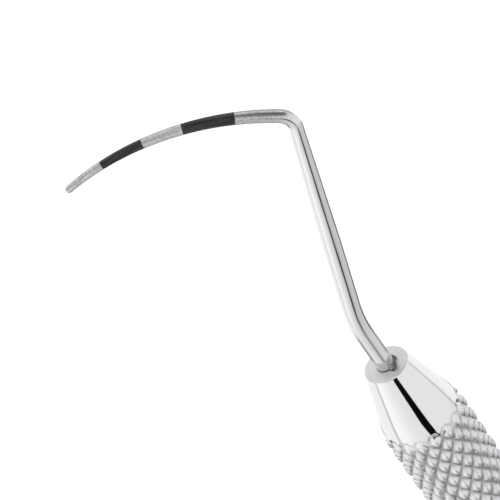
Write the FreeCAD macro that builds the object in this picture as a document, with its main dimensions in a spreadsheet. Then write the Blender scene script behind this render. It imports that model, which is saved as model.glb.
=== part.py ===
import FreeCAD, Part
import math
import os
import Sketcher
from FreeCAD import Placement, Rotation, Vector

# A double-ended furcation probe, in millimetres. The handle lies along X, centred on the origin, and rests on
# Z = 0 with both hooked tips touching the same surface. Each end is one tapered wire, pressed into the handle.

driving_sizes = {
    # the turned handle
    "handleLength": 124.0,
    "handleDiameter": 6.0,
    "noseLength": 6.0,
    "noseFaceDiameter": 3.1,
    "noseEdgeRadius": 0.1,
    "waistLength": 30.0,
    "ringWidth": 1.2,
    "ringDepth": 0.3,
    # the socket in each nose, its wider mouth and the stake that locks the wire
    "socketDepth": 12.0,
    "mouthDiameter": 1.48,
    "mouthDepth": 0.5,
    "mouthOffset": 0.09,
    "stakeReach": 1.3,
    "stakeWidth": 0.67,
    "stakeDepth": 0.3,
    "stakeTurn": 15.0,
    # the wire: straight neck, shank, sharp corner and curved tip
    "wireDiameter": 1.25,
    "tipDiameter": 0.48,
    "neckLength": 3.2,
    "shankBendRadius": 12.0,
    "shankBendAngle": 13.5,
    "lowerShankLength": 5.7,
    "upperShankLength": 10.57,
    "cornerRadius": 1.2,
    "cornerAngle": 68.8,
    "tipCurveRadius": 15.9,
    "tipCurveLength": 14.9,
    # the scale, as distances along the wire from its tip, and the depth of the black coat
    "mark3": 3.0,
    "mark6": 6.0,
    "mark9": 8.65,
    "mark12": 12.0,
    "coatThickness": 0.03,
}


def make_sheet(doc):
    """Put the driving dimensions in a spreadsheet, one row each."""
    sheet = doc.addObject("Spreadsheet::Sheet", "Sizes")
    for row, (alias, size) in enumerate(driving_sizes.items(), start=1):
        sheet.set("A%d" % row, alias)
        sheet.set("B%d" % row, str(size))
        sheet.setAlias("B%d" % row, alias)
    doc.recompute()
    return sheet


def attach(sketch, body, role):
    """Attach a sketch to one of its own body's origin planes."""
    plane = next(f for f in body.Origin.OriginFeatures if f.Role == role)
    sketch.AttachmentSupport = [(plane, "")]
    sketch.MapMode = "FlatFace"


def bind_point(sketch, geometry, end, across, up):
    """Tie one point of a sketch to two expressions, its distances from the sketch's origin."""
    for kind, expression in (("DistanceX", across), ("DistanceY", up)):
        value = float(sketch.evalExpression(expression))
        index = sketch.addConstraint(Sketcher.Constraint(kind, -1, 1, geometry, end, value))
        sketch.setExpression("Constraints[%d]" % index, expression)


def outline_sketch(body, name, role, corners):
    """Draw a closed outline whose corners are pairs of expressions."""
    sketch = body.newObject("Sketcher::SketchObject", name)
    attach(sketch, body, role)
    points = [Vector(*(float(sketch.evalExpression(e)) for e in corner), 0) for corner in corners]
    count = len(points)
    for index in range(count):
        sketch.addGeometry(Part.LineSegment(points[index], points[(index + 1) % count]), False)
    for index in range(count):
        sketch.addConstraint(Sketcher.Constraint("Coincident", index, 2, (index + 1) % count, 1))
    for index, corner in enumerate(corners):
        bind_point(sketch, index, 1, *corner)
    return sketch


def handle_profile():
    """Half the handle's section, from one nose face to the other, above the X axis."""
    half = "Sizes.handleLength / 2"
    crest = "Sizes.handleDiameter / 2"
    ring_floor = crest + " - Sizes.ringDepth"
    ring_inner = "Sizes.waistLength / 2"
    ring_outer = ring_inner + " + Sizes.ringWidth"
    right_half = [
        (half, "0"),
        (half, "Sizes.noseFaceDiameter / 2"),
        (half + " - Sizes.noseLength", crest),
        (ring_outer, crest),
        (ring_outer, ring_floor),
        (ring_inner, ring_floor),
        (ring_inner, crest),
    ]
    left_half = [("-(%s)" % across, up) for across, up in reversed(right_half)]
    return right_half + left_half


def revolve(body, sketch):
    """Turn a profile about the X axis."""
    turned = body.newObject("PartDesign::Revolution", "turned_bar")
    turned.Profile = sketch
    turned.ReferenceAxis = (sketch, ["H_Axis"])
    turned.Angle = 360.0
    return turned


def round_nose_edges(doc, body, turned, sheet):
    """Break the sharp edge round each nose face."""
    face_radius = float(sheet.noseFaceDiameter) / 2
    half = float(sheet.handleLength) / 2
    rims = []
    for index, edge in enumerate(turned.Shape.Edges, start=1):
        at_face = abs(abs(edge.CenterOfMass.x) - half) < 1e-6
        if at_face and abs(edge.Length - 2 * math.pi * face_radius) < 1e-6:
            rims.append("Edge%d" % index)
    fillet = body.newObject("PartDesign::Fillet", "nose_edges")
    fillet.Base = (turned, rims)
    fillet.setExpression("Radius", "Sizes.noseEdgeRadius")
    doc.recompute()
    return fillet


def drill_nose(body, name, diameter, depth, offset):
    """Sink a round hole into the nose face at +X, moved sideways by an offset."""
    sketch = body.newObject("Sketcher::SketchObject", name + "_circle")
    attach(sketch, body, "YZ_Plane")
    sketch.setExpression(".AttachmentOffset.Base.z", "Sizes.handleLength / 2")
    radius = float(sketch.evalExpression(diameter)) / 2
    centre = Vector(float(sketch.evalExpression(offset)), 0, 0)
    sketch.addGeometry(Part.Circle(centre, Vector(0, 0, 1), radius), False)
    size = sketch.addConstraint(Sketcher.Constraint("Radius", 0, radius))
    sketch.setExpression("Constraints[%d]" % size, diameter + " / 2")
    bind_point(sketch, 0, 3, offset, "0")
    hole = body.newObject("PartDesign::Pocket", name)
    hole.Profile = sketch
    hole.setExpression("Length", depth)
    return hole


def stake_nose(body):
    """Cut the wedge left by the chisel that pinched the nose onto the wire, its point near the rim."""
    corners = [
        ("0", "Sizes.stakeReach"),
        ("-Sizes.stakeWidth", "0"),
        ("Sizes.stakeWidth", "0"),
    ]
    sketch = outline_sketch(body, "stake_outline", "YZ_Plane", corners)
    sketch.AttachmentOffset = Placement(Vector(0, 0, 1), Rotation(Vector(0, 0, 1), 1))
    sketch.setExpression(".AttachmentOffset.Base.z", "Sizes.handleLength / 2")
    sketch.setExpression(".AttachmentOffset.Rotation.Angle", "Sizes.stakeTurn * 1 deg")
    stake = body.newObject("PartDesign::Pocket", "stake")
    stake.Profile = sketch
    stake.setExpression("Length", "Sizes.stakeDepth")
    return stake


def check_cut(doc, cut, before):
    """Stop if a cut has removed nothing."""
    doc.recompute()
    if cut.Shape.Volume > before.Shape.Volume - 1e-3:
        raise RuntimeError(cut.Name + " cuts nothing")


def make_handle(doc, sheet):
    """The bar: two noses, two grips and a waist between two ring grooves, with a socket at each end."""
    body = doc.addObject("PartDesign::Body", "handle")
    body.Label = "handle"
    profile = outline_sketch(body, "handle_profile", "XZ_Plane", handle_profile())
    turned = revolve(body, profile)
    doc.recompute()
    before = round_nose_edges(doc, body, turned, sheet)
    socket = drill_nose(body, "socket", "Sizes.wireDiameter", "Sizes.socketDepth", "0")
    check_cut(doc, socket, before)
    mouth = drill_nose(body, "mouth", "Sizes.mouthDiameter", "Sizes.mouthDepth", "-Sizes.mouthOffset")
    check_cut(doc, mouth, socket)
    stake = stake_nose(body)
    check_cut(doc, stake, mouth)
    both_ends = body.newObject("PartDesign::PolarPattern", "both_ends")
    both_ends.Originals = [socket, mouth, stake]
    z_axis = next(f for f in body.Origin.OriginFeatures if f.Role == "Z_Axis")
    both_ends.Axis = (z_axis, [""])
    both_ends.Angle = 360.0
    both_ends.Occurrences = 2
    body.Tip = both_ends
    check_cut(doc, both_ends, stake)
    body.setExpression(".Placement.Base.z", "Sizes.handleDiameter / 2")
    return body


def path_steps():
    """The wire's centreline from the socket's floor to the tip: (kind, length, radius, side) of each step."""
    curve = "Sizes.tipCurveRadius"
    bend = "Sizes.shankBendRadius * Sizes.shankBendAngle * pi / 180"
    corner = "Sizes.cornerRadius * Sizes.cornerAngle * pi / 180"
    return [
        ("line", "Sizes.socketDepth + Sizes.neckLength", None, 0),
        ("arc", bend, "Sizes.shankBendRadius", 1),
        ("line", "Sizes.lowerShankLength", None, 0),
        ("line", "Sizes.upperShankLength", None, 0),
        ("arc", corner, "Sizes.cornerRadius", -1),
        ("arc", "Sizes.tipCurveLength - Sizes.mark12", curve, -1),
        ("arc", "Sizes.mark12 - Sizes.mark9", curve, -1),
        ("arc", "Sizes.mark9 - Sizes.mark6", curve, -1),
        ("arc", "Sizes.mark6 - Sizes.mark3", curve, -1),
        ("arc", "Sizes.mark3 - Sizes.tipDiameter / 2", curve, -1),
    ]


def add_line(sketch, start, heading, length):
    """Draw a straight step of the centreline and return its far end."""
    end = start + Vector(math.cos(heading), math.sin(heading), 0) * length
    sketch.addGeometry(Part.LineSegment(start, end), False)
    return end


def add_arc(sketch, start, heading, turn, radius):
    """Draw a curved step of the centreline and return its far end."""
    side = math.copysign(1, turn)
    centre = start + Vector(-math.sin(heading), math.cos(heading), 0) * radius * side
    first = heading - side * math.pi / 2
    last = first + turn
    circle = Part.Circle(centre, Vector(0, 0, 1), radius)
    sketch.addGeometry(Part.ArcOfCircle(circle, min(first, last), max(first, last)), False)
    return centre + Vector(math.cos(last), math.sin(last), 0) * radius


def make_centreline(doc):
    """Sketch the hook's flat centreline, with the nose face at its origin and the handle's axis along its X."""
    sketch = doc.addObject("Sketcher::SketchObject", "centreline")
    heading = 0.0
    point = Vector(-float(sketch.evalExpression("Sizes.socketDepth")), 0, 0)
    ends = []
    for kind, length, radius, side in path_steps():
        run = float(sketch.evalExpression(length))
        if kind == "line":
            point = add_line(sketch, point, heading, run)
            ends.append((1, 2))
        else:
            size = float(sketch.evalExpression(radius))
            point = add_arc(sketch, point, heading, side * run / size, size)
            heading += side * run / size
            ends.append((1, 2) if side > 0 else (2, 1))
    bind_centreline(sketch, ends)
    doc.recompute()
    return sketch


def bind_centreline(sketch, ends):
    """Make each step tangent to the one before it, and bind its length and radius to the sheet."""
    sketch.addConstraint(Sketcher.Constraint("Horizontal", 0))
    bind_point(sketch, 0, 1, "-Sizes.socketDepth", "0")
    for index, (kind, length, radius, side) in enumerate(path_steps()):
        if index:
            before = (index - 1, ends[index - 1][1])
            sketch.addConstraint(Sketcher.Constraint("Tangent", *before, index, ends[index][0]))
        if kind == "line":
            bind_size(sketch, "Distance", index, length)
        else:
            bind_size(sketch, "Radius", index, radius)
            bind_size(sketch, "Angle", index, "(%s) / (%s) * 180 / pi * 1 deg" % (length, radius))


def bind_size(sketch, kind, geometry, expression):
    """Add one driving dimension of a step."""
    value = sketch.evalExpression(expression)
    number = math.radians(value.Value) if kind == "Angle" else float(value)
    index = sketch.addConstraint(Sketcher.Constraint(kind, geometry, number))
    sketch.setExpression("Constraints[%d]" % index, expression)


def wire_radius(distance):
    """The wire's radius at a distance from its tip: it tapers evenly, then stays at its full size."""
    taper_length = "(Sizes.tipCurveLength + %s + Sizes.upperShankLength)" % path_steps()[4][1]
    growth = "(Sizes.wireDiameter - Sizes.tipDiameter) / 2"
    return "Sizes.tipDiameter / 2 + %s * (%s) / %s" % (growth, distance, taper_length)


def add_section(doc, name, centreline, step, far_end, radius):
    """Set one circle square across the centreline, at either end of a step."""
    circle = doc.addObject("Part::Circle", name)
    circle.AttachmentSupport = [(centreline, "Edge%d" % (step + 1))]
    circle.MapMode = "NormalToEdge"
    circle.MapPathParameter = far_end
    circle.setExpression("Radius", radius)
    return circle


def sweep_step(doc, name, centreline, step, start_radius, end_radius):
    """Sweep a round, evenly tapered rod along one step of the centreline."""
    backwards = path_steps()[step][3] < 0
    start = add_section(doc, name + "_start", centreline, step, int(backwards), start_radius)
    end = add_section(doc, name + "_end", centreline, step, int(not backwards), end_radius)
    sweep = doc.addObject("Part::Sweep", name)
    sweep.Sections = [start, end]
    sweep.Spine = (centreline, ["Edge%d" % (step + 1)])
    sweep.Solid = True
    return sweep


def step_radii():
    """The wire's radius at the start and end of each step."""
    full = "Sizes.wireDiameter / 2"
    curve = "Sizes.tipCurveLength"
    corner = curve + " + " + path_steps()[4][1]
    marks = ["Sizes.mark12", "Sizes.mark9", "Sizes.mark6", "Sizes.mark3", "Sizes.tipDiameter / 2"]
    stations = [wire_radius(d) for d in [corner, curve] + marks]
    return [(full, full)] * 3 + [(full, stations[0])] + list(zip(stations, stations[1:]))


def make_wire_steps(doc, centreline):
    """The rods that make up the wire, and the rods of the two coated steps at their full size."""
    rods = []
    coats = {}
    coated = {6: "mark_9_12", 8: "mark_3_6"}
    for step, (start, end) in enumerate(step_radii()):
        if step in coated:
            coats[coated[step]] = sweep_step(doc, "coated_%d" % step, centreline, step, start, end)
            start += " - Sizes.coatThickness"
            end += " - Sizes.coatThickness"
        rods.append(sweep_step(doc, "rod_%d" % step, centreline, step, start, end))
    doc.recompute()
    return rods, coats


def make_tip(doc, centreline):
    """The half ball that closes the tip."""
    last = centreline.Shape.Edges[-1]
    backwards = path_steps()[-1][3] < 0
    at_tip = last.FirstParameter if backwards else last.LastParameter
    ball = doc.addObject("Part::Sphere", "tip_ball")
    ball.setExpression("Radius", wire_radius("Sizes.tipDiameter / 2"))
    ball.Angle1 = 0.0
    outward = last.tangentAt(at_tip) * (-1 if backwards else 1)
    ball.Placement = Placement(last.valueAt(at_tip), Rotation(Vector(0, 0, 1), outward))
    doc.recompute()
    return ball


def end_placement(sheet, ball, turn):
    """Stand the hook in its nose, leaning until its tip touches the surface that the handle lies on."""
    height = float(sheet.handleDiameter) / 2
    reach = -ball.Placement.Base.y
    lean = math.degrees(math.asin((height - ball.Radius.Value) / reach))
    nose = Placement(Vector(float(sheet.handleLength) / 2, 0, height), Rotation(Vector(1, 0, 0), 180 - lean))
    return Placement(Vector(), Rotation(Vector(0, 0, 1), turn)).multiply(nose)


def make_end(doc, suffix, parts, place):
    """One end of the probe: the wire, and a coat in each of its two shallow recesses."""
    rods, coats, ball = parts
    wire = doc.addObject("Part::MultiFuse", "working_end_" + suffix)
    wire.Shapes = rods + [ball]
    pieces = [wire]
    for mark, full_rod in coats.items():
        coat = doc.addObject("Part::Cut", "%s_%s" % (mark, suffix))
        coat.Base = full_rod
        coat.Tool = rods[int(full_rod.Name.split("_")[1])]
        pieces.append(coat)
    for piece in pieces:
        piece.Label = piece.Name
        piece.Placement = place
    doc.recompute()
    return pieces


def check_document(doc, pieces):
    """Stop if anything in the document failed, or a piece has no sound solid."""
    for item in doc.Objects:
        if "Invalid" in item.State or "Error" in item.State:
            raise RuntimeError("%s failed: %s" % (item.Name, item.State))
    for piece in pieces:
        shape = piece.Shape
        if shape.isNull() or not shape.isValid() or len(shape.Solids) != 1:
            raise RuntimeError(piece.Label + " has no sound solid")
        box = shape.BoundBox
        print("%-15s %9.3f mm3   X %8.3f..%8.3f   Y %7.3f..%7.3f   Z %6.3f..%6.3f" % (
            piece.Label, shape.Volume, box.XMin, box.XMax, box.YMin, box.YMax, box.ZMin, box.ZMax))


def main():
    doc = FreeCAD.newDocument("furcation_probe")
    sheet = make_sheet(doc)
    pieces = [make_handle(doc, sheet)]
    centreline = make_centreline(doc)
    rods, coats = make_wire_steps(doc, centreline)
    ball = make_tip(doc, centreline)
    for suffix, turn in (("a", 0), ("b", 180)):
        pieces += make_end(doc, suffix, (rods, coats, ball), end_placement(sheet, ball, turn))
    check_document(doc, pieces)
    os.makedirs("parts", exist_ok=True)
    for piece in pieces:
        piece.Shape.exportStep("parts/%s.step" % piece.Label)


main()
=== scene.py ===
import math
import bmesh
import bpy
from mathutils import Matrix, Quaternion, Vector


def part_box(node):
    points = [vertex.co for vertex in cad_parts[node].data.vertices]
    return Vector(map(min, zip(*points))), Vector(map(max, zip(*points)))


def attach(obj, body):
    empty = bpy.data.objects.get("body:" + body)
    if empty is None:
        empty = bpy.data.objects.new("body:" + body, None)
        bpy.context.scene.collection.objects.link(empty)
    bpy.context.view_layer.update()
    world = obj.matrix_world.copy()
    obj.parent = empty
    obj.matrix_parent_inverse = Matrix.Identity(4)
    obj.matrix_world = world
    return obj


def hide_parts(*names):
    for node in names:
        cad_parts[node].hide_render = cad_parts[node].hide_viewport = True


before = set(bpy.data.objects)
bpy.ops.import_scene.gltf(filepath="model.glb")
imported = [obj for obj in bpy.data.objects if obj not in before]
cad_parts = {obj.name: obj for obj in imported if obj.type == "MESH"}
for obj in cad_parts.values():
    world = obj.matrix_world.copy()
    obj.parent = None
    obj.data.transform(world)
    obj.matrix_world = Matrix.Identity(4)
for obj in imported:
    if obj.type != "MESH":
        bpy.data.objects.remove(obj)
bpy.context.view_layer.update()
mm = 0.001
handleLow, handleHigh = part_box("handle")
noseX = handleHigh.x  # the nose face of end a
axisZ = (handleLow.z + handleHigh.z) / 2
crest = (handleHigh.z - handleLow.z) / 2  # radius over the knurl and the waist
tiny = 0.01 * mm  # tells neighbouring rings apart
seamGap = 0.03 * mm  # open gap between the knurl and its neighbours, bridged at the end
print("frame loaded, handle length", round(2 * noseX / mm, 1), "mm")


# small helpers
def freshMesh(makeIt):
    # deselect everything, add a primitive and open it for editing
    if bpy.context.object and bpy.context.object.mode != "OBJECT":
        bpy.ops.object.mode_set(mode="OBJECT")
    bpy.ops.object.select_all(action="DESELECT")
    makeIt()
    bpy.ops.object.mode_set(mode="EDIT")
    bpy.ops.mesh.select_mode(type="VERT")
    bpy.ops.mesh.select_all(action="SELECT")
    return bpy.context.object


def pick(kind, test):
    # select the vertices, edges or faces that pass a test, and nothing else
    bpy.ops.mesh.select_mode(type={"verts": "VERT", "edges": "EDGE", "faces": "FACE"}[kind])
    bpy.ops.mesh.select_all(action="DESELECT")
    edited = bmesh.from_edit_mesh(bpy.context.object.data)
    for item in getattr(edited, kind):
        item.select_set(test(item))
    bmesh.update_edit_mesh(bpy.context.object.data)


def widen(factor):
    # scale what is selected away from the Z axis
    bpy.ops.transform.resize(value=(factor, factor, 1), center_override=(0, 0, 0))


def lift(height):
    bpy.ops.mesh.extrude_region_move(TRANSFORM_OT_translate={"value": (0, 0, height)})


def turnProfile(points):
    # draw the selected ring through (height, radius) pairs, as a lathe would leave it
    height, radius = points[0]
    for nextHeight, nextRadius in points[1:]:
        lift(nextHeight - height)
        widen(nextRadius / radius)
        height, radius = nextHeight, nextRadius


def applyModifier(piece, kind, **settings):
    modifier = piece.modifiers.new(kind.lower(), kind)
    for name, value in settings.items():
        setattr(modifier, name, value)
    bpy.ops.object.modifier_apply(modifier=modifier.name)


def castRound(piece, radius, group):
    # put a vertex group onto a cylinder round Z
    applyModifier(piece, "CAST", cast_type="CYLINDER", factor=1, radius=0, use_radius_as_size=False,
                  size=radius, vertex_group=group)


def joined(name, *pieces):
    bpy.ops.object.select_all(action="DESELECT")
    for piece in pieces:
        piece.select_set(True)
    bpy.context.view_layer.objects.active = pieces[0]
    bpy.ops.object.join()
    whole = bpy.context.object
    whole.name = whole.data.name = name
    return whole


def copyOf(piece, name):
    bpy.ops.object.select_all(action="DESELECT")
    piece.select_set(True)
    bpy.context.view_layer.objects.active = piece
    bpy.ops.object.duplicate(linked=False)
    copy = bpy.context.object
    copy.name = copy.data.name = name
    return copy


def settle(piece):
    # leave the object at the origin, unturned, with its place in its mesh
    bpy.ops.object.select_all(action="DESELECT")
    piece.select_set(True)
    bpy.context.view_layer.objects.active = piece
    bpy.ops.object.transform_apply(location=True, rotation=True, scale=True)


# the handle, turned standing up along Z with its middle at the origin
handleLook = {
    "noseLength": 6.0 * mm,
    "faceRadius": 1.55 * mm,
    "rimRadius": 0.11 * mm,  # rounding of the nose's front edge
    "waistHalf": 15.0 * mm,
    "ringWidth": 1.2 * mm,
    "ringDepth": 0.3 * mm,
    "edgeBreak": 0.08 * mm,
    "rimHold": 0.03 * mm,  # ring that keeps the face flat beside its rounded rim
    "gripChamfer": (0.16 * mm, 0.24 * mm),  # below the knurl: where it is nearly and fully out
    "smoothAngle": math.radians(55),
    "segments": 136,
}
knurlLook = {
    "starts": 17,  # grooves each way round
    "rows": 26,
    "depth": 0.24 * mm,
    "flank": 0.16 * mm,  # width of a tooth's flank and of its rounded edge
    "shoulder": 0.1 * mm,
    "shoulderDrop": 0.05 * mm,
    "foot": 17.0 * mm,  # distance from the handle's middle
    "crispness": 1.0,
    "overshoot": 0.012 * mm,  # subdividing pulls the tops down again by this much
}
noseSlope = (crest - handleLook["faceRadius"]) / handleLook["noseLength"]
floorRadius = crest - knurlLook["depth"]
# the grooves run out where the cone is as thin as their floor
knurlTop = noseX - (floorRadius - handleLook["faceRadius"]) / noseSlope


def noseRadius(height):
    return min(crest, handleLook["faceRadius"] + (noseX - height) * noseSlope)


def radiusOf(vertex):
    return math.hypot(vertex.co.x, vertex.co.y)


def makeKnurl():
    k = knurlLook
    rowHeight = (knurlTop - k["foot"]) / k["rows"]
    knurl = freshMesh(lambda: bpy.ops.mesh.primitive_circle_add(
        vertices=k["starts"], radius=floorRadius, location=(0, 0, 0)))
    bpy.ops.transform.translate(value=(0, 0, k["foot"]))
    for _ in range(k["rows"]):
        lift(rowHeight)
    # poke every field of the grid and dissolve its frame, which leaves diamonds
    bpy.ops.mesh.select_mode(type="FACE")
    bpy.ops.mesh.select_all(action="SELECT")
    bpy.ops.mesh.normals_make_consistent(inside=False)
    bpy.ops.mesh.poke()
    pokedRadius = floorRadius * math.cos(math.pi / k["starts"])
    between = pokedRadius + tiny
    pick("edges", lambda e: len(e.link_faces) == 2 and all(radiusOf(v) > between for v in e.verts))
    bpy.ops.mesh.dissolve_edges(use_verts=False)
    pick("verts", lambda v: radiusOf(v) < between)
    widen(floorRadius / pokedRadius)
    pick("edges", lambda e: len(e.link_faces) == 2)
    bpy.ops.transform.edge_crease(value=k["crispness"])
    # raise the teeth in two steps, flank and rounded shoulder; those cut by the nose run out onto it
    topLine = knurlTop - tiny
    for border in (False, True):
        pick("faces", lambda f: (sum(v.co.z > topLine for v in f.verts) > 1) == border)
        for name, thickness in (("flank", k["flank"]), ("top", k["shoulder"])):
            bpy.ops.mesh.inset(thickness=thickness, depth=0, use_individual=not border,
                               use_boundary=False, use_even_offset=True)
            if name not in knurl.vertex_groups:
                knurl.vertex_groups.new(name=name)
            knurl.vertex_groups.active_index = knurl.vertex_groups[name].index
            bpy.ops.object.vertex_group_assign()
    knurl.vertex_groups.new(name="runOut")
    bpy.ops.object.vertex_group_assign()
    bpy.ops.object.mode_set(mode="OBJECT")
    castRound(knurl, crest - k["shoulderDrop"], "flank")
    castRound(knurl, crest + k["overshoot"], "top")
    bpy.ops.object.mode_set(mode="EDIT")
    followNose(knurl)
    bpy.ops.object.mode_set(mode="OBJECT")
    applyModifier(knurl, "SUBSURF", levels=1, render_levels=1)
    # subdividing pulls the rings and the run-out in, so they go back onto the turned blank
    bpy.ops.object.mode_set(mode="EDIT")
    pick("verts", lambda v: v.is_boundary)
    knurl.vertex_groups.new(name="rings")
    bpy.ops.object.vertex_group_assign()
    bpy.ops.object.mode_set(mode="OBJECT")
    castRound(knurl, floorRadius, "rings")
    blank = makeBlank()
    bpy.ops.object.mode_set(mode="OBJECT")
    bpy.context.view_layer.objects.active = knurl
    applyModifier(knurl, "SHRINKWRAP", target=blank, wrap_method="NEAREST_SURFACEPOINT",
                  vertex_group="runOut")
    bpy.data.objects.remove(blank)
    return knurl


def makeBlank():
    # the turned bar as it was before knurling
    start = knurlLook["foot"] - 1 * mm
    blank = freshMesh(lambda: bpy.ops.mesh.primitive_circle_add(
        vertices=2 * handleLook["segments"], radius=crest))
    bpy.ops.transform.translate(value=(0, 0, start))
    coneBase = noseX - handleLook["noseLength"]
    turnProfile([(start, crest), (coneBase, crest), (noseX, handleLook["faceRadius"])])
    return blank


def followNose(knurl):
    # teeth that stand on the cone are no higher than the cone
    coneBase, near, digits = noseX - handleLook["noseLength"], 2e-7, 7
    raised = [v for v in knurl.data.vertices if v.co.z > coneBase and radiusOf(v) > floorRadius * 1.001]
    rings = {(round(v.co.z, digits), round(radiusOf(v), digits)) for v in raised}
    for height, radius in sorted(rings):
        drop = crest - radius
        pick("verts", lambda v: abs(v.co.z - height) < near and abs(radiusOf(v) - radius) < near)
        widen(max(floorRadius, noseRadius(height) - max(drop, 0)) / radius)


def roundedRim(height, radius, bend):
    # the points that round an outer edge, from the side to the face
    turns = [math.radians(a) for a in (20, 45, 70, 90)]
    return [(height - bend + bend * math.sin(a), radius - bend + bend * math.cos(a)) for a in turns]


def makeNose():
    h = handleLook
    nose = freshMesh(lambda: bpy.ops.mesh.primitive_circle_add(
        vertices=h["segments"], radius=floorRadius, fill_type="NGON"))
    start = knurlTop + seamGap
    bpy.ops.transform.translate(value=(0, 0, start))
    rimFoot = noseX - h["rimRadius"]
    side = [(start, floorRadius)]
    for share in (0.25, 0.5, 0.75, 1.0):
        height = start + (rimFoot - start) * share
        side.append((height, noseRadius(height)))
    rim = roundedRim(noseX, noseRadius(rimFoot), h["rimRadius"])
    turnProfile(side + rim + [(noseX, rim[-1][1] - h["rimHold"])])
    bpy.ops.mesh.select_all(action="SELECT")
    bpy.ops.mesh.normals_make_consistent(inside=False)
    bpy.ops.object.mode_set(mode="OBJECT")
    return nose


def makeWaist():
    h, edge = handleLook, handleLook["edgeBreak"]
    small, wide = edge * 0.2, edge * 0.4  # the middle point of a rounded edge
    waist = freshMesh(lambda: bpy.ops.mesh.primitive_circle_add(
        vertices=h["segments"], radius=floorRadius))
    start = knurlLook["foot"] - seamGap
    bpy.ops.transform.translate(value=(0, 0, start))
    nearlyOut, out = h["gripChamfer"]
    high, low = h["waistHalf"] + h["ringWidth"], h["waistHalf"]
    bottom = crest - h["ringDepth"]
    turnProfile([
        (start, floorRadius), (start - nearlyOut, crest - wide), (start - out, crest),
        (high + edge, crest), (high + small, crest - wide), (high, crest - edge),
        (high, bottom + edge), (high - wide, bottom + small), (high - edge, bottom),
        (low + edge, bottom), (low + wide, bottom + small), (low, bottom + edge),
        (low, crest - edge), (low - small, crest - wide), (low - edge, crest),
        (0, crest),
    ])
    bpy.ops.object.mode_set(mode="OBJECT")
    return waist


# the socket in the nose: the wire's hole, its wider mouth and the wedge that the chisel left beside it
socketLook = {
    "holeRadius": 0.63 * mm,
    "holeDepth": 12.0 * mm,
    "mouthRadius": 0.74 * mm,
    "mouthDepth": 0.5 * mm,
    "mouthOffset": 0.09 * mm,
    "chiselTurn": math.radians(14.9),
    "chiselReach": 1.3 * mm,
    "chiselHalfWidth": 0.67 * mm,
    "chiselDepth": (0.14 * mm, 0.4 * mm),  # at its point and at the hole
    "chiselPoint": 0.03,  # width of its point, as a share of the whole
    "cutterHeight": 2.0 * mm,
    "breakWithin": 1.36 * mm,  # the edges nearer to the middle than this are broken
    "edgeBreak": 0.035 * mm,
}


def cut(piece, cutter):
    bpy.ops.object.mode_set(mode="OBJECT")
    bpy.ops.object.select_all(action="DESELECT")
    piece.select_set(True)
    bpy.context.view_layer.objects.active = piece
    applyModifier(piece, "BOOLEAN", operation="DIFFERENCE", solver="EXACT", object=cutter)
    bpy.data.objects.remove(cutter)


def roundCutter(radius, depth, side):
    cutter = freshMesh(lambda: bpy.ops.mesh.primitive_cylinder_add(
        vertices=64, radius=radius, depth=2 * depth, location=(0, side, noseX)))
    bpy.ops.mesh.normals_make_consistent(inside=False)
    return cutter


def chiselCutter():
    # a wedge that is widest and deepest at the hole, its point near the rim
    s = socketLook
    chisel = freshMesh(lambda: bpy.ops.mesh.primitive_cube_add(size=1))
    bpy.ops.transform.resize(value=(s["chiselReach"], 2 * s["chiselHalfWidth"], s["cutterHeight"]))
    bpy.ops.transform.translate(value=(-s["chiselReach"] / 2, 0, noseX + s["cutterHeight"] / 2))
    pick("verts", lambda v: v.co.x < -s["chiselReach"] / 2)
    bpy.ops.transform.resize(value=(1, s["chiselPoint"], 1), center_override=(0, 0, 0))
    for depth, atPoint in zip(s["chiselDepth"], (True, False)):
        pick("verts", lambda v: v.co.z < noseX + s["cutterHeight"] / 4
             and (v.co.x < -s["chiselReach"] / 2) == atPoint)
        bpy.ops.transform.translate(value=(0, 0, -depth))
    bpy.ops.mesh.select_all(action="SELECT")
    bpy.ops.transform.rotate(value=-s["chiselTurn"], orient_axis="Z", center_override=(0, 0, 0))
    bpy.ops.transform.translate(value=(0, -s["mouthOffset"], 0))
    bpy.ops.mesh.normals_make_consistent(inside=False)
    return chisel


def drillNose(nose):
    s = socketLook
    # the nose stands up here, so the world's -Y stays -Y and the world's Z is -X
    cut(nose, roundCutter(s["holeRadius"], s["holeDepth"], 0))
    cut(nose, roundCutter(s["mouthRadius"], s["mouthDepth"], -s["mouthOffset"]))
    cut(nose, chiselCutter())
    bpy.ops.object.mode_set(mode="EDIT")
    pick("edges", lambda e: all(abs(v.co.z - noseX) < tiny / 10 and radiusOf(v) < s["breakWithin"]
                                for v in e.verts))
    bpy.ops.mesh.bevel(offset=s["edgeBreak"], segments=2, affect="EDGES")
    bpy.ops.object.mode_set(mode="OBJECT")


def closeSeam(piece, height):
    # join the two open rings that face each other across a narrow gap
    bpy.ops.object.mode_set(mode="EDIT")
    pick("edges", lambda e: e.is_boundary and all(abs(v.co.z - height) < 2 * seamGap for v in e.verts))
    bpy.ops.mesh.bridge_edge_loops()


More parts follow.
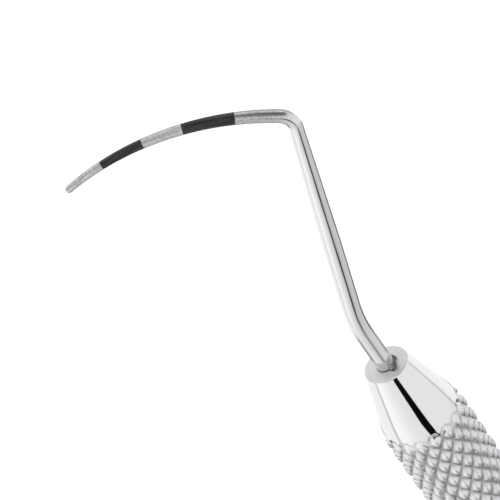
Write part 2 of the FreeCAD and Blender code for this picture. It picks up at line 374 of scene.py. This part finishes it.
def makeHandle():
    knurl, nose, waist = makeKnurl(), makeNose(), makeWaist()
    drillNose(nose)
    bpy.ops.object.mode_set(mode="EDIT")
    pick("faces", lambda f: all(v.co.z < knurlTop + seamGap + tiny for v in f.verts))
    bpy.ops.mesh.delete(type="ONLY_FACE")
    # the hole goes on past the nose, down to its flat bottom
    pick("edges", lambda e: e.is_boundary and all(radiusOf(v) < floorRadius / 2 for v in e.verts))
    lift(noseX - socketLook["holeDepth"] - knurlTop)
    bpy.ops.mesh.edge_face_add()
    bpy.ops.object.mode_set(mode="OBJECT")
    half = joined("handleHalf", knurl, nose, waist)
    closeSeam(half, knurlTop)
    closeSeam(half, knurlLook["foot"])
    bpy.ops.object.mode_set(mode="OBJECT")
    # lay it down with the nose towards +X, and stand its double at the other end
    half.rotation_euler = (0, math.pi / 2, 0)
    settle(half)
    other = copyOf(half, "otherHalf")
    other.rotation_euler = (0, 0, math.pi)
    settle(other)
    handle = joined("handleBar", half, other)
    bpy.ops.object.mode_set(mode="EDIT")
    pick("verts", lambda v: abs(v.co.x) < tiny)
    bpy.ops.mesh.remove_doubles(threshold=tiny)
    bpy.ops.mesh.select_all(action="SELECT")
    bpy.ops.mesh.normals_make_consistent(inside=False)
    bpy.ops.object.mode_set(mode="OBJECT")
    handle.location = (0, 0, axisZ)
    settle(handle)
    bpy.ops.object.shade_smooth_by_angle(angle=handleLook["smoothAngle"])
    print("handle made,", len(handle.data.polygons), "faces")
    return handle


# the wire: made straight along X, then laid along its centreline
wireLook = {
    "tang": 12.0 * mm,
    "neck": 3.2 * mm,
    "bendRadius": 12.0 * mm,
    "bendTurn": math.radians(13.5),
    "lowerShank": 5.7 * mm,
    "upperShank": 10.57 * mm,
    "cornerRadius": 1.2 * mm,
    "cornerTurn": math.radians(68.8),
    "tipCurveRadius": 15.9 * mm,
    "tipCurve": 14.9 * mm,
    "radius": 0.625 * mm,
    "tipRadius": 0.24 * mm,
    "sides": 44,
    "step": 0.22 * mm,
    "coat": 0.03 * mm,
    "coatFit": 0.97,  # the coat is this share of its recess
    "recessStep": 0.002 * mm,
    "spanTurn": math.radians(35),  # most that one span of the centreline turns
    "ballTurns": (12, 24, 36, 48, 60, 72, 82),  # rings of the round tip, in degrees
    "smoothAngle": math.radians(50),
    "marks": ((3.0 * mm, 6.0 * mm), (8.65 * mm, 12.0 * mm)),
}


def wireSteps():
    # (length, radius of the bend or none, turn) of each step of the centreline
    w = wireLook
    return [
        (w["tang"] + w["neck"], 0, 0),
        (w["bendRadius"] * w["bendTurn"], w["bendRadius"], w["bendTurn"]),
        (w["lowerShank"] + w["upperShank"], 0, 0),
        (w["cornerRadius"] * w["cornerTurn"], w["cornerRadius"], -w["cornerTurn"]),
        (w["tipCurve"], w["tipCurveRadius"], -w["tipCurve"] / w["tipCurveRadius"]),
    ]


wireLength = sum(step[0] for step in wireSteps())
taperLength = wireLength - wireLook["tang"] - wireLook["neck"] - wireSteps()[1][0] - wireLook["lowerShank"]


def wireRadius(place):
    fromTip = wireLength - place
    grown = wireLook["tipRadius"] + (wireLook["radius"] - wireLook["tipRadius"]) * fromTip / taperLength
    return min(wireLook["radius"], grown)


def makeGuide():
    # the centreline as a bezier curve, with one or two spans to each bend
    points, heading, place = [], 0.0, Vector((-wireLook["tang"], 0, 0))
    spans = []
    for length, bend, turn in wireSteps():
        count = max(1, math.ceil(abs(turn) / wireLook["spanTurn"]))
        spans += [(length / count, bend, turn / count)] * count
    for length, bend, turn in spans:
        ahead = Vector((math.cos(heading), math.sin(heading), 0))
        grip = 4 / 3 * math.tan(abs(turn) / 4) * bend if bend else length / 3
        chord = 2 * bend * math.sin(abs(turn) / 2) if bend else length
        towards = heading + turn / 2
        nextPlace = place + Vector((math.cos(towards), math.sin(towards), 0)) * chord
        heading += turn
        nextAhead = Vector((math.cos(heading), math.sin(heading), 0))
        points.append((place, place + ahead * grip, nextPlace - nextAhead * grip, nextPlace))
        place = nextPlace
    curve = bpy.data.curves.new("wireGuide", "CURVE")
    curve.dimensions, curve.twist_mode, curve.resolution_u = "3D", "Z_UP", 48
    spline = curve.splines.new("BEZIER")
    spline.bezier_points.add(len(points))
    for index, (start, startGrip, endGrip, end) in enumerate(points):
        here, there = spline.bezier_points[index], spline.bezier_points[index + 1]
        here.handle_left_type = here.handle_right_type = "FREE"
        there.handle_left_type = there.handle_right_type = "FREE"
        here.co, here.handle_right, there.handle_left, there.co = start, startGrip, endGrip, end
        if index == 0:
            here.handle_left = start - (startGrip - start)
    spline.bezier_points[-1].handle_right = 2 * place - spline.bezier_points[-1].handle_left
    guide = bpy.data.objects.new("wireGuide", curve)
    bpy.context.scene.collection.objects.link(guide)
    return guide


def drawAlong(places):
    # pull the selected ring along X through (place, radius) pairs
    place, radius = places[0]
    for nextPlace, nextRadius in places[1:]:
        bpy.ops.mesh.extrude_region_move(TRANSFORM_OT_translate={"value": (nextPlace - place, 0, 0)})
        factor = nextRadius / radius
        bpy.ops.transform.resize(value=(1, factor, factor), center_override=(0, 0, 0))
        place, radius = nextPlace, nextRadius


def evenly(start, end):
    # places from start to end, both included, no further apart than one step
    count = math.ceil((end - start) / wireLook["step"])
    return [start + (end - start) * n / count for n in range(count + 1)]


def ringAtX(place, radius, filled):
    freshMesh(lambda: bpy.ops.mesh.primitive_circle_add(
        vertices=wireLook["sides"], radius=radius, fill_type="NGON" if filled else "NOTHING",
        rotation=(0, math.pi / 2, 0)))
    bpy.ops.object.mode_set(mode="OBJECT")
    bpy.ops.object.transform_apply(location=False, rotation=True, scale=False)
    bpy.ops.object.mode_set(mode="EDIT")
    bpy.ops.mesh.select_all(action="SELECT")
    bpy.ops.transform.translate(value=(place, 0, 0))
    return bpy.context.object


def layAlong(piece, guide):
    # keep each point's straight place for the finish, then bend the piece onto its centreline and seat it
    flat = [c for v in piece.data.vertices for c in v.co]
    kept = piece.data.attributes.new("straight", "FLOAT_VECTOR", "POINT")
    kept.data.foreach_set("vector", flat)
    bpy.context.view_layer.objects.active = piece
    applyModifier(piece, "CURVE", object=guide, deform_axis="POS_X")
    piece.location = (noseX, 0, axisZ)
    piece.rotation_euler = (math.pi - wireLean, 0, 0)
    settle(piece)
    bpy.ops.object.shade_smooth_by_angle(angle=wireLook["smoothAngle"])
    return piece


def makeWire(guide):
    w = wireLook
    tipBase = wireLength - w["tipRadius"]
    stops = [0]
    rings = []
    for near, far in reversed(w["marks"]):
        rings += [(p, wireRadius(p)) for p in evenly(stops[-1], wireLength - far)]
        inside = evenly(wireLength - far + w["recessStep"], wireLength - near - w["recessStep"])
        rings += [(p, wireRadius(p) - w["coat"]) for p in inside]
        stops.append(wireLength - near)
    rings += [(p, wireRadius(p)) for p in evenly(stops[-1], tipBase)]
    ball = [math.radians(a) for a in w["ballTurns"]]
    rings += [(tipBase + w["tipRadius"] * math.sin(a), wireRadius(tipBase) * math.cos(a)) for a in ball]
    wire = ringAtX(0, w["radius"], True)
    drawAlong(rings)
    bpy.ops.mesh.extrude_region_move(TRANSFORM_OT_translate={"value": (wireLength - rings[-1][0], 0, 0)})
    bpy.ops.mesh.merge(type="CENTER")
    bpy.ops.mesh.select_all(action="SELECT")
    bpy.ops.mesh.normals_make_consistent(inside=False)
    bpy.ops.object.mode_set(mode="OBJECT")
    return layAlong(wire, guide)


def makeMark(guide, near, far):
    start, end = wireLength - far, wireLength - near
    mark = ringAtX(start, wireRadius(start), False)
    drawAlong([(p, wireRadius(p)) for p in evenly(start, end)])
    bpy.ops.mesh.select_all(action="SELECT")
    bpy.ops.mesh.normals_make_consistent(inside=False)
    bpy.ops.object.mode_set(mode="OBJECT")
    applyModifier(mark, "SOLIDIFY", thickness=wireLook["coat"] * wireLook["coatFit"], offset=-1)
    return layAlong(mark, guide)


# the hook leans so far that its tip touches the surface that the handle lies on
tipBall = wireRadius(wireLength)
wireLean = math.atan((axisZ - tipBall) / (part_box("working_end_a")[1].y - tipBall))

handle = makeHandle()
guide = makeGuide()
wireA = makeWire(guide)
print("wire made,", len(wireA.data.polygons), "faces")
marksA = [makeMark(guide, near, far) for near, far in wireLook["marks"]]
bpy.data.objects.remove(guide)

pieces = {"handleBar": (handle, "handle", "handle_steel")}
piecesOfA = (
    ("wireA", wireA, "working_end_"),
    ("markLowA", marksA[0], "mark_3_6_"),
    ("markHighA", marksA[1], "mark_9_12_"),
)
for name, piece, node in piecesOfA:
    slot = "wire_steel" if name.startswith("wire") else "black_coat"
    piece.name = piece.data.name = name
    twin = copyOf(piece, name[:-1] + "B")
    twin.rotation_euler = (0, 0, math.pi)
    settle(twin)
    pieces[name] = (piece, node + "a", slot)
    pieces[twin.name] = (twin, node + "b", slot)
for piece, node, slot in pieces.values():
    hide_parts(node)
    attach(piece, "root")
print("pieces placed:", ", ".join(pieces))


# the finishes
def newSocket(group, name, way, kind, value=None):
    socket = group.interface.new_socket(name=name, in_out=way, socket_type=kind)
    if value is not None:
        socket.default_value = value
    return socket


class Wiring:
    # places nodes in a tree and joins them, so that each finish reads from top to bottom
    def __init__(self, tree):
        self.tree = tree

    def node(self, kind, settings=None, **inputs):
        node = self.tree.nodes.new(kind)
        for name, value in (settings or {}).items():
            setattr(node, name, value)
        for name, value in inputs.items():
            self.feed(node.inputs[name.replace("_", " ")], value)
        return node

    def feed(self, socket, value):
        if isinstance(value, bpy.types.NodeSocket):
            self.tree.links.new(value, socket)
        else:
            socket.default_value = value

    def maths(self, kind, first, second=0.0):
        node = self.tree.nodes.new("ShaderNodeMath")
        node.operation = kind
        self.feed(node.inputs[0], first)
        self.feed(node.inputs[1], second)
        return node.outputs["Value"]

    def ramp(self, value, low, high, fromValue=0.0, toValue=1.0):
        node = self.tree.nodes.new("ShaderNodeMapRange")
        node.interpolation_type = "SMOOTHSTEP"
        for socket, given in zip(node.inputs, (value, low, high, fromValue, toValue)):
            self.feed(socket, given)
        return node.outputs["Result"]

    def times(self, *values):
        product = values[0]
        for value in values[1:]:
            product = self.maths("MULTIPLY", product, value)
        return product

    def rest(self, share):
        return self.maths("SUBTRACT", 1.0, share)

    def mixColours(self, share, first, second):
        node = self.tree.nodes.new("ShaderNodeMix")
        node.data_type = "RGBA"
        for number, given in ((0, share), (6, first), (7, second)):  # the colour mix's own sockets
            self.feed(node.inputs[number], given)
        return node.outputs[2]


def grey(value):
    return (value, value, value, 1)


def makeToolLines():
    # fine lines left by turning, drawing or wiping: noise stretched along one direction
    group = bpy.data.node_groups.new("toolLines", "ShaderNodeTree")
    newSocket(group, "Place", "INPUT", "NodeSocketVector")
    newSocket(group, "Spread", "INPUT", "NodeSocketVector", (1000, 1000, 1000))
    newSocket(group, "Sharpness", "INPUT", "NodeSocketFloat", 0.3)
    newSocket(group, "Lines", "OUTPUT", "NodeSocketFloat")
    w = Wiring(group)
    given = w.node("NodeGroupInput").outputs
    stretched = w.node("ShaderNodeVectorMath", {"operation": "MULTIPLY"})
    w.feed(stretched.inputs[0], given["Place"])
    w.feed(stretched.inputs[1], given["Spread"])
    noise = w.node("ShaderNodeTexNoise", Vector=stretched.outputs["Vector"], Scale=1.0, Detail=3.0,
                   Roughness=0.6)
    low = w.maths("SUBTRACT", 0.5, given["Sharpness"])
    high = w.maths("ADD", 0.5, given["Sharpness"])
    lines = w.ramp(noise.outputs["Fac"], low, high)
    w.tree.links.new(lines, w.node("NodeGroupOutput").inputs["Lines"])
    return group


def makeHandlingMarks():
    # faint clouds and a few wiping scratches that change how sharply a surface reflects
    group = bpy.data.node_groups.new("handlingMarks", "ShaderNodeTree")
    newSocket(group, "Place", "INPUT", "NodeSocketVector")
    newSocket(group, "Cloud Size", "INPUT", "NodeSocketFloat", 300.0)
    newSocket(group, "Cloud Depth", "INPUT", "NodeSocketFloat", 0.02)
    newSocket(group, "Scratch Depth", "INPUT", "NodeSocketFloat", 0.05)
    newSocket(group, "Roughness", "INPUT", "NodeSocketFloat", 0.1)
    newSocket(group, "Roughness", "OUTPUT", "NodeSocketFloat")
    newSocket(group, "Scratches", "OUTPUT", "NodeSocketFloat")
    w = Wiring(group)
    given = w.node("NodeGroupInput").outputs
    clouds = w.node("ShaderNodeTexNoise", Vector=given["Place"], Scale=given["Cloud Size"], Detail=2.0)
    drift = w.maths("MULTIPLY", w.ramp(clouds.outputs["Fac"], 0.3, 0.7, -1.0, 1.0), given["Cloud Depth"])
    # the scratches run slantwise, long one way and hair-thin the other two
    turned = w.node("ShaderNodeMapping", Vector=given["Place"], Rotation=(0.4, 0.9, 0.3),
                    Scale=(300, 6000, 6000))
    hair = w.node("ShaderNodeTexNoise", Vector=turned.outputs["Vector"], Scale=1.0, Detail=1.0)
    scratches = w.ramp(hair.outputs["Fac"], 0.66, 0.74)
    worn = w.maths("MULTIPLY", scratches, given["Scratch Depth"])
    total = w.maths("ADD", w.maths("ADD", given["Roughness"], drift), worn)
    out = w.node("NodeGroupOutput")
    w.tree.links.new(w.maths("MAXIMUM", total, 0.02), out.inputs["Roughness"])
    w.tree.links.new(scratches, out.inputs["Scratches"])
    return group


toolLines, handlingMarks = makeToolLines(), makeHandlingMarks()
bumpHeight = 0.01 * mm


def blankMaterial(name):
    material = bpy.data.materials.new(name)
    material.use_nodes = True
    return Wiring(material.node_tree), material, material.node_tree.nodes["Principled BSDF"]


handleFinish = {
    "bright": 0.8,
    "gripBright": 0.78,
    # painted shade: grey that the knurl's grooves darken to
    "grooveShadeGrey": 0.4,
    "cutFace": 0.69,
    "polishRoughness": 0.05,
    "knurlRoughness": 0.33,
    "faceRoughness": 0.42,
    "faceDull": 0.5,
    "grooveBottom": 0.24 * mm,
    "turningBump": 0.05,
    "turningSpread": (26000.0, 260.0, 260.0),
    "turningSharpness": 0.3,
    "grooveFrom": 0.12 * mm,  # depth where the painted groove shade begins
    "shadeNoiseScale": 1400.0,
    "grainScale": 9000.0,
    "grainHeight": 6.0,
    "cloudSize": 420.0,
    "cloudDepth": 0.012,
    "scratchDepth": 0.06,
}


def makeHandleSteel():
    f = handleFinish
    w, material, shader = blankMaterial("handleSteel")
    place = w.node("ShaderNodeTexCoord").outputs["Object"]
    centred = w.node("ShaderNodeMapping", Vector=place, Location=(0, 0, -axisZ)).outputs["Vector"]
    axes = w.node("ShaderNodeSeparateXYZ", Vector=centred).outputs
    along = w.maths("ABSOLUTE", axes["X"])
    squares = [w.maths("POWER", axes[name], 2.0) for name in ("Y", "Z")]
    radius = w.maths("SQRT", w.maths("ADD", *squares))
    cone = w.times(w.maths("SUBTRACT", noseX, along), noseSlope)
    cone = w.maths("ADD", cone, handleLook["faceRadius"])
    depth = w.maths("SUBTRACT", w.maths("MINIMUM", cone, crest), radius)  # below the turned blank's surface
    gripFoot = w.ramp(along, knurlLook["foot"] - 0.1 * mm, knurlLook["foot"] + 0.3 * mm)
    gripTop = w.ramp(along, knurlTop + 0.1 * mm, knurlTop - 0.9 * mm)
    onGrip = w.times(gripFoot, gripTop)
    groove = w.times(w.ramp(depth, f["grooveFrom"], f["grooveBottom"]), onGrip)
    onFace = w.ramp(along, noseX - 0.05 * mm, noseX - 0.01 * mm)
    # everything inside the cone's skin, down to where the socket is out of sight
    inside = w.ramp(radius, 1.5 * mm, 1.42 * mm)
    inSocket = w.times(inside, w.ramp(along, noseX - 6 * mm, noseX - 5.5 * mm))
    sawn = w.maths("MAXIMUM", onFace, inSocket)
    # painted shade: the knurl's grooves darken with depth, mottled by noise
    shadeNoise = w.node("ShaderNodeTexNoise", Vector=place, Scale=f["shadeNoiseScale"], Detail=3.0)
    paintedGrooveShade = w.times(groove, w.ramp(shadeNoise.outputs["Fac"], 0.2, 0.8, 0.75, 1.0))
    colour = w.mixColours(onGrip, grey(f["bright"]), grey(f["gripBright"]))
    colour = w.mixColours(paintedGrooveShade, colour, grey(f["grooveShadeGrey"]))
    colour = w.mixColours(sawn, colour, grey(f["cutFace"]))
    w.tree.links.new(colour, shader.inputs["Base Color"])
    w.tree.links.new(w.rest(w.times(sawn, f["faceDull"])), shader.inputs["Metallic"])
    base = w.times(onGrip, f["knurlRoughness"] - f["polishRoughness"])
    base = w.maths("ADD", base, f["polishRoughness"])
    base = w.maths("ADD", base, w.times(sawn, f["faceRoughness"] - f["polishRoughness"]))
    marks = w.node("ShaderNodeGroup", {"node_tree": handlingMarks}, Place=place,
                   Cloud_Size=f["cloudSize"], Cloud_Depth=f["cloudDepth"],
                   Scratch_Depth=f["scratchDepth"], Roughness=base)
    w.tree.links.new(marks.outputs["Roughness"], shader.inputs["Roughness"])
    turning = w.node("ShaderNodeGroup", {"node_tree": toolLines}, Place=centred,
                     Spread=f["turningSpread"], Sharpness=f["turningSharpness"])
    grain = w.node("ShaderNodeTexNoise", Vector=place, Scale=f["grainScale"], Detail=2.0)
    rough = w.times(grain.outputs["Fac"], w.times(sawn, f["grainHeight"]))
    mixed = w.maths("ADD", turning.outputs["Lines"], rough)
    bump = w.node("ShaderNodeBump", Height=mixed, Strength=f["turningBump"], Distance=bumpHeight)
    w.tree.links.new(bump.outputs["Normal"], shader.inputs["Normal"])
    return material


wireFinish = {
    "bright": 0.8,
    "satin": 0.56,
    "polishRoughness": 0.09,
    "satinRoughness": 0.33,
    "satinFrom": 34.2 * mm,
    "satinTo": 36.6 * mm,
    "drawnBump": 0.12,
    "blastBump": 0.3,
    "drawnSpread": (120.0, 9000.0, 9000.0),
    "drawnSharpness": 0.25,
    "drawnRoughness": 0.05,
    "blastScale": 7000.0,
    "toneScale": 6500.0,
    "toneRange": (0.76, 1.14),
    "cloudSize": 700.0,
    "cloudDepth": 0.02,
    "scratchDepth": 0.08,
}


def makeWireSteel():
    f = wireFinish
    w, material, shader = blankMaterial("wireSteel")
    straight = w.node("ShaderNodeAttribute", {"attribute_name": "straight"}).outputs["Vector"]
    along = w.node("ShaderNodeSeparateXYZ", Vector=straight).outputs["X"]
    satin = w.ramp(along, f["satinFrom"], f["satinTo"])
    drawn = w.node("ShaderNodeGroup", {"node_tree": toolLines}, Place=straight,
                   Spread=f["drawnSpread"], Sharpness=f["drawnSharpness"])
    fine = w.node("ShaderNodeTexNoise", Vector=straight, Scale=f["blastScale"], Detail=3.0)
    cloudy = w.node("ShaderNodeTexNoise", Vector=straight, Scale=f["toneScale"], Detail=3.0)
    tone = w.times(w.ramp(cloudy.outputs["Fac"], 0.3, 0.7, *f["toneRange"]), f["satin"])
    toned = w.node("ShaderNodeCombineColor", Red=tone, Green=tone, Blue=tone).outputs["Color"]
    w.tree.links.new(w.mixColours(satin, grey(f["bright"]), toned), shader.inputs["Base Color"])
    shader.inputs["Metallic"].default_value = 1
    base = w.times(satin, f["satinRoughness"] - f["polishRoughness"])
    base = w.maths("ADD", base, f["polishRoughness"])
    uneven = w.maths("SUBTRACT", drawn.outputs["Lines"], 0.5)
    base = w.maths("ADD", base, w.times(uneven, f["drawnRoughness"]))
    marks = w.node("ShaderNodeGroup", {"node_tree": handlingMarks}, Place=straight,
                   Cloud_Size=f["cloudSize"], Cloud_Depth=f["cloudDepth"],
                   Scratch_Depth=f["scratchDepth"], Roughness=base)
    w.tree.links.new(marks.outputs["Roughness"], shader.inputs["Roughness"])
    height = w.maths("ADD", w.times(drawn.outputs["Lines"], f["drawnBump"]),
                     w.times(fine.outputs["Fac"], satin, f["blastBump"]))
    bump = w.node("ShaderNodeBump", Height=height, Strength=1.0, Distance=bumpHeight)
    w.tree.links.new(bump.outputs["Normal"], shader.inputs["Normal"])
    return material


coatFinish = {
    "black": 0.006,
    "rubbed": 0.13,
    "roughness": 0.36,
    "specular": 0.3,
    "wipedSpread": (500.0, 12000.0, 12000.0),
    "wipedSharpness": 0.2,
    "wipedShare": 0.35,  # how much of the rubbed colour the wiping lines take
    "wipedBump": 0.15,
    "cloudSize": 1500.0,
    "cloudDepth": 0.05,
    "scratchDepth": -0.1,  # scratches shine on the coat
}


def makeBlackCoat():
    f = coatFinish
    w, material, shader = blankMaterial("blackCoat")
    shader.inputs["Specular IOR Level"].default_value = f["specular"]
    straight = w.node("ShaderNodeAttribute", {"attribute_name": "straight"}).outputs["Vector"]
    wiped = w.node("ShaderNodeGroup", {"node_tree": toolLines}, Place=straight,
                   Spread=f["wipedSpread"], Sharpness=f["wipedSharpness"])
    marks = w.node("ShaderNodeGroup", {"node_tree": handlingMarks}, Place=straight,
                   Cloud_Size=f["cloudSize"], Cloud_Depth=f["cloudDepth"],
                   Scratch_Depth=f["scratchDepth"], Roughness=f["roughness"])
    faint = w.times(wiped.outputs["Lines"], f["wipedShare"])
    rubbed = w.maths("MAXIMUM", marks.outputs["Scratches"], faint)
    w.tree.links.new(w.mixColours(rubbed, grey(f["black"]), grey(f["rubbed"])), shader.inputs["Base Color"])
    w.tree.links.new(marks.outputs["Roughness"], shader.inputs["Roughness"])
    bump = w.node("ShaderNodeBump", Height=wiped.outputs["Lines"], Strength=f["wipedBump"],
                  Distance=bumpHeight)
    w.tree.links.new(bump.outputs["Normal"], shader.inputs["Normal"])
    return material


finishes = {"handle_steel": makeHandleSteel(), "wire_steel": makeWireSteel(), "black_coat": makeBlackCoat()}
for name, (piece, node, slot) in pieces.items():
    piece.data.materials.clear()
    piece.data.materials.append(finishes[slot])
print("finishes made:", ", ".join(material.name for material in finishes.values()))


# floor, light and camera
floorLook = {
    "size": 1.2,
    "drop": 0.02 * mm,  # below the object, so that the two surfaces never share a plane
    "base": 0.25,
    "roughness": 0.7,
    "glow": 0.95,
}


def makeFloor():
    f = floorLook
    bpy.ops.object.select_all(action="DESELECT")
    bpy.ops.mesh.primitive_plane_add(size=f["size"], location=(0, 0, -f["drop"]))
    floor = bpy.context.object
    floor.name = "floor"
    w, material, shader = blankMaterial("paperWhite")
    w.feed(shader.inputs["Base Color"], grey(f["base"]))
    w.feed(shader.inputs["Roughness"], f["roughness"])
    w.feed(shader.inputs["Emission Color"], grey(1.0))
    w.feed(shader.inputs["Emission Strength"], f["glow"])
    floor.data.materials.append(material)
    floor.visible_glossy = False  # reflections see the tent instead


makeFloor()
tentLook = {
    # how bright each part is, and how much of each dark place shows
    "leftWall": 1.19,  # a white tent, brightest low on the left
    "overhead": 0.94,
    "rightWall": 0.96,
    "backDim": 0.71,  # how much darker its far end is
    "floor": 1.07,
    "seam": 0.68,  # where walls and floor meet
    "farFloor": 0.2,  # behind and below, where the floor ends
    "beneathDark": 0.6,  # share of that dark on the floor under the object
    "frontDark": 0.85,  # the tent's front, where it is open
    "frontLeft": 0.45,  # how much of that is left on the left
    "slitBlack": 0.004,
    "slitFold": 0.5,  # a fold of cloth that hangs half over the slit
    "slitShade": 0.25,  # and the dimmer cloth beside it at the far end
    # where they are, as parts of a direction: x towards end a, y to the left and z up
    "sides": (-0.3, 0.3),
    "wallHeight": (0.02, 0.95),
    "back": (-0.8, -0.45),
    "slitRun": (-0.74, -0.22),  # from the slit's narrow end to its wide end
    "slitMiddle": (-0.02, 0.085),  # at those two ends
    "slitHalf": (0.1, 0.165),
    "slitEdge": (0.015, -0.015),
    "slitFoot": (0.05, 0.12),
    "slitEnd": (0.0, -0.14),
    "shadeEdge": (0.3, 0.0),
    "shadeRun": (-0.5, -0.65),
    "foldBack": (-0.71, -0.67),
    "foldFront": (-0.5, -0.58),
    "front": (0.32, 0.5),
    "frontTop": (0.93, 0.84),
    "frontGap": (0.08, 0.26),  # the cloth still hangs in the middle
    "frontSides": (0.45, -0.2),
    "farEnd": (-0.62, -0.68),
    "farEndTop": (-0.12, -0.3),
    "beneathBack": (-0.25, -0.1),
    "beneathFront": (0.4, 0.25),
    "beneathTop": (-0.2, -0.4),
    "seamFoot": (-0.22, -0.13),
    "seamTop": (-0.02, -0.08),
    "horizon": (-0.06, -0.03),
}


def makeTent():
    t = tentLook
    world = bpy.data.worlds.new("tent")
    bpy.context.scene.world = world
    world.use_nodes = True
    w = Wiring(world.node_tree)
    where = w.node("ShaderNodeTexCoord").outputs["Generated"]
    axes = w.node("ShaderNodeSeparateXYZ", Vector=where).outputs
    x, y, z = axes["X"], axes["Y"], axes["Z"]
    fromMiddle = w.maths("ABSOLUTE", y)

    def blend(share, first, second):
        return w.maths("ADD", w.times(share, first), w.times(w.rest(share), second))

    leftShare = w.ramp(y, *t["sides"])
    left = w.ramp(z, *t["wallHeight"], t["leftWall"], t["overhead"])
    walls = blend(leftShare, left, t["rightWall"])
    walls = w.times(walls, w.ramp(x, *t["back"], t["backDim"], 1.0))
    # a dark slit runs over the top, narrower towards the back
    middle = w.ramp(x, *t["slitRun"], *t["slitMiddle"])
    half = w.ramp(x, *t["slitRun"], *t["slitHalf"])
    offMiddle = w.maths("ABSOLUTE", w.maths("SUBTRACT", y, middle))
    fromEdge = w.maths("SUBTRACT", offMiddle, half)
    shade = w.times(w.ramp(fromEdge, *t["shadeEdge"]), w.ramp(x, *t["shadeRun"], 0.0, t["slitShade"]))
    walls = w.times(walls, w.rest(shade))
    slit = w.times(w.ramp(fromEdge, *t["slitEdge"]), w.ramp(z, *t["slitFoot"]), w.ramp(x, *t["slitEnd"]))
    fold = w.times(w.ramp(x, *t["foldBack"]), w.ramp(x, *t["foldFront"]))
    slit = w.times(slit, w.rest(w.times(fold, t["slitFold"])))
    front = w.times(w.ramp(x, *t["front"]), w.ramp(z, *t["frontTop"]), w.ramp(fromMiddle, *t["frontGap"]),
                    w.ramp(y, *t["frontSides"], t["frontLeft"], 1.0))
    opening = w.maths("MAXIMUM", slit, w.times(front, t["frontDark"]))
    upper = blend(opening, t["slitBlack"], walls)
    # below the horizon: the pale floor, a soft seam above it and its darker far end
    farEnd = w.times(w.ramp(x, *t["farEnd"]), w.ramp(z, *t["farEndTop"]))
    beneath = w.times(w.ramp(x, *t["beneathBack"]), w.ramp(x, *t["beneathFront"]),
                      w.ramp(z, *t["beneathTop"]))
    far = w.maths("MAXIMUM", farEnd, w.times(beneath, t["beneathDark"]))
    floor = blend(far, t["farFloor"], t["floor"])
    seam = w.times(w.ramp(z, *t["seamFoot"]), w.ramp(z, *t["seamTop"]))
    below = blend(seam, t["seam"], floor)
    light = blend(w.ramp(z, *t["horizon"]), upper, below)
    tent = world.node_tree.nodes["Background"]
    w.feed(tent.inputs["Color"], grey(1.0))
    w.feed(tent.inputs["Strength"], light)
    plain = w.node("ShaderNodeBackground", Color=grey(1.0))
    seen = w.node("ShaderNodeLightPath").outputs["Is Camera Ray"]
    choose = w.node("ShaderNodeMixShader", Fac=seen)
    w.feed(choose.inputs[1], tent.outputs["Background"])
    w.feed(choose.inputs[2], plain.outputs["Background"])
    w.tree.links.new(choose.outputs["Shader"], world.node_tree.nodes["World Output"].inputs["Surface"])


makeTent()
bpy.context.scene.view_settings.view_transform = "Standard"

cameraLook = {
    "azimuth": math.radians(89.74),
    "elevation": math.radians(50.0),
    "roll": math.radians(144.82),
    "distance": 350 * mm,
    "lens": 383.3,
    "sensor": 36,
    "clip": (0.01, 10),
    # from the middle of nose face a to the middle of the view
    "aim": Vector((8.655, 2.932, -7.251)) * mm,
}


def makeCamera():
    c = cameraLook
    towards = Vector((math.cos(c["elevation"]) * math.sin(c["azimuth"]),
                      -math.cos(c["elevation"]) * math.cos(c["azimuth"]), math.sin(c["elevation"])))
    data = bpy.data.cameras.new("camera")
    data.lens = c["lens"]
    data.sensor_width = c["sensor"]
    data.clip_start, data.clip_end = c["clip"]
    camera = bpy.data.objects.new("camera", data)
    bpy.context.scene.collection.objects.link(camera)
    camera.rotation_mode = "QUATERNION"
    level = (-towards).to_track_quat("-Z", "Y")
    camera.rotation_quaternion = level @ Quaternion((0, 0, 1), c["roll"])
    camera.location = Vector((noseX, 0, axisZ)) + c["aim"] + towards * c["distance"]
    bpy.context.scene.camera = camera


makeCamera()
